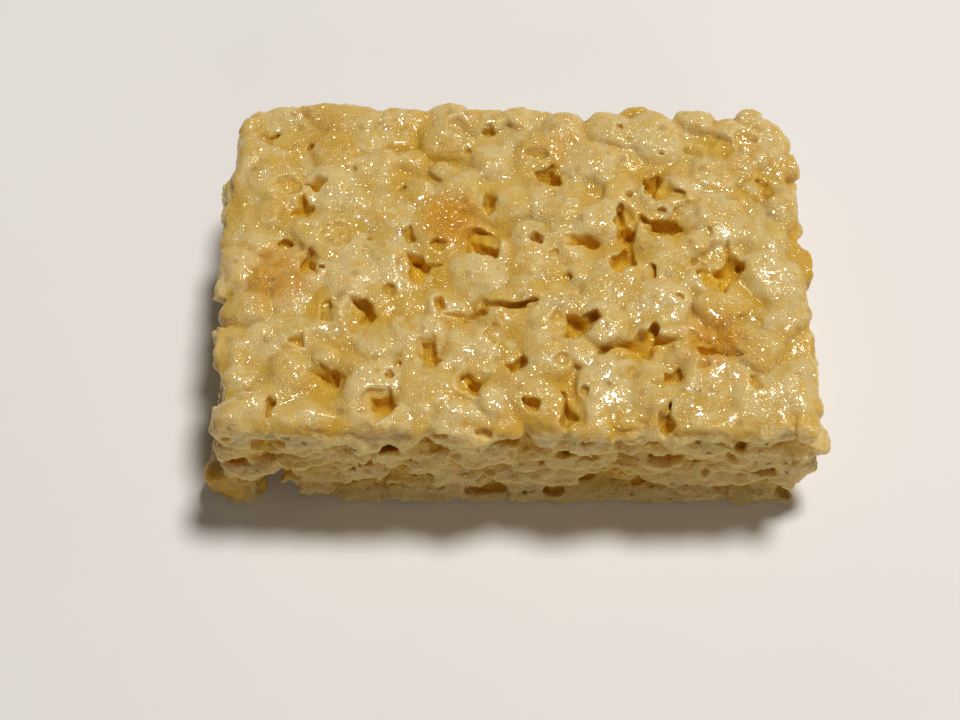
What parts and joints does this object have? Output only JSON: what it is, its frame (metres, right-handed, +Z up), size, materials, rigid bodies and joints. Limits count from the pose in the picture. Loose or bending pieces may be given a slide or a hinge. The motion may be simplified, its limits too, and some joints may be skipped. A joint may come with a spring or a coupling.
{
  "type": "puffed rice marshmallow bar",
  "caption": "Rectangular snack bar of puffed rice bound with marshmallow, cut from a pressed slab, with a lumpy glossy top and ragged cut sides.",
  "frame": {"origin": "middle of the bar's plan, on the flat underside that it rests on", "axes": "+X along the bar's length, +Y from the front cut face to the back one, +Z up through the glossy top"},
  "size_m": [0.0878, 0.0542, 0.0225],
  "materials": {
    "marshmallow_rice": "sticky gloss on top, matt crumb on the cut sides"
  },
  "bodies": {
    "root": {"puffed_rice_bar": "marshmallow_rice"}
  },
  "joints": []
}
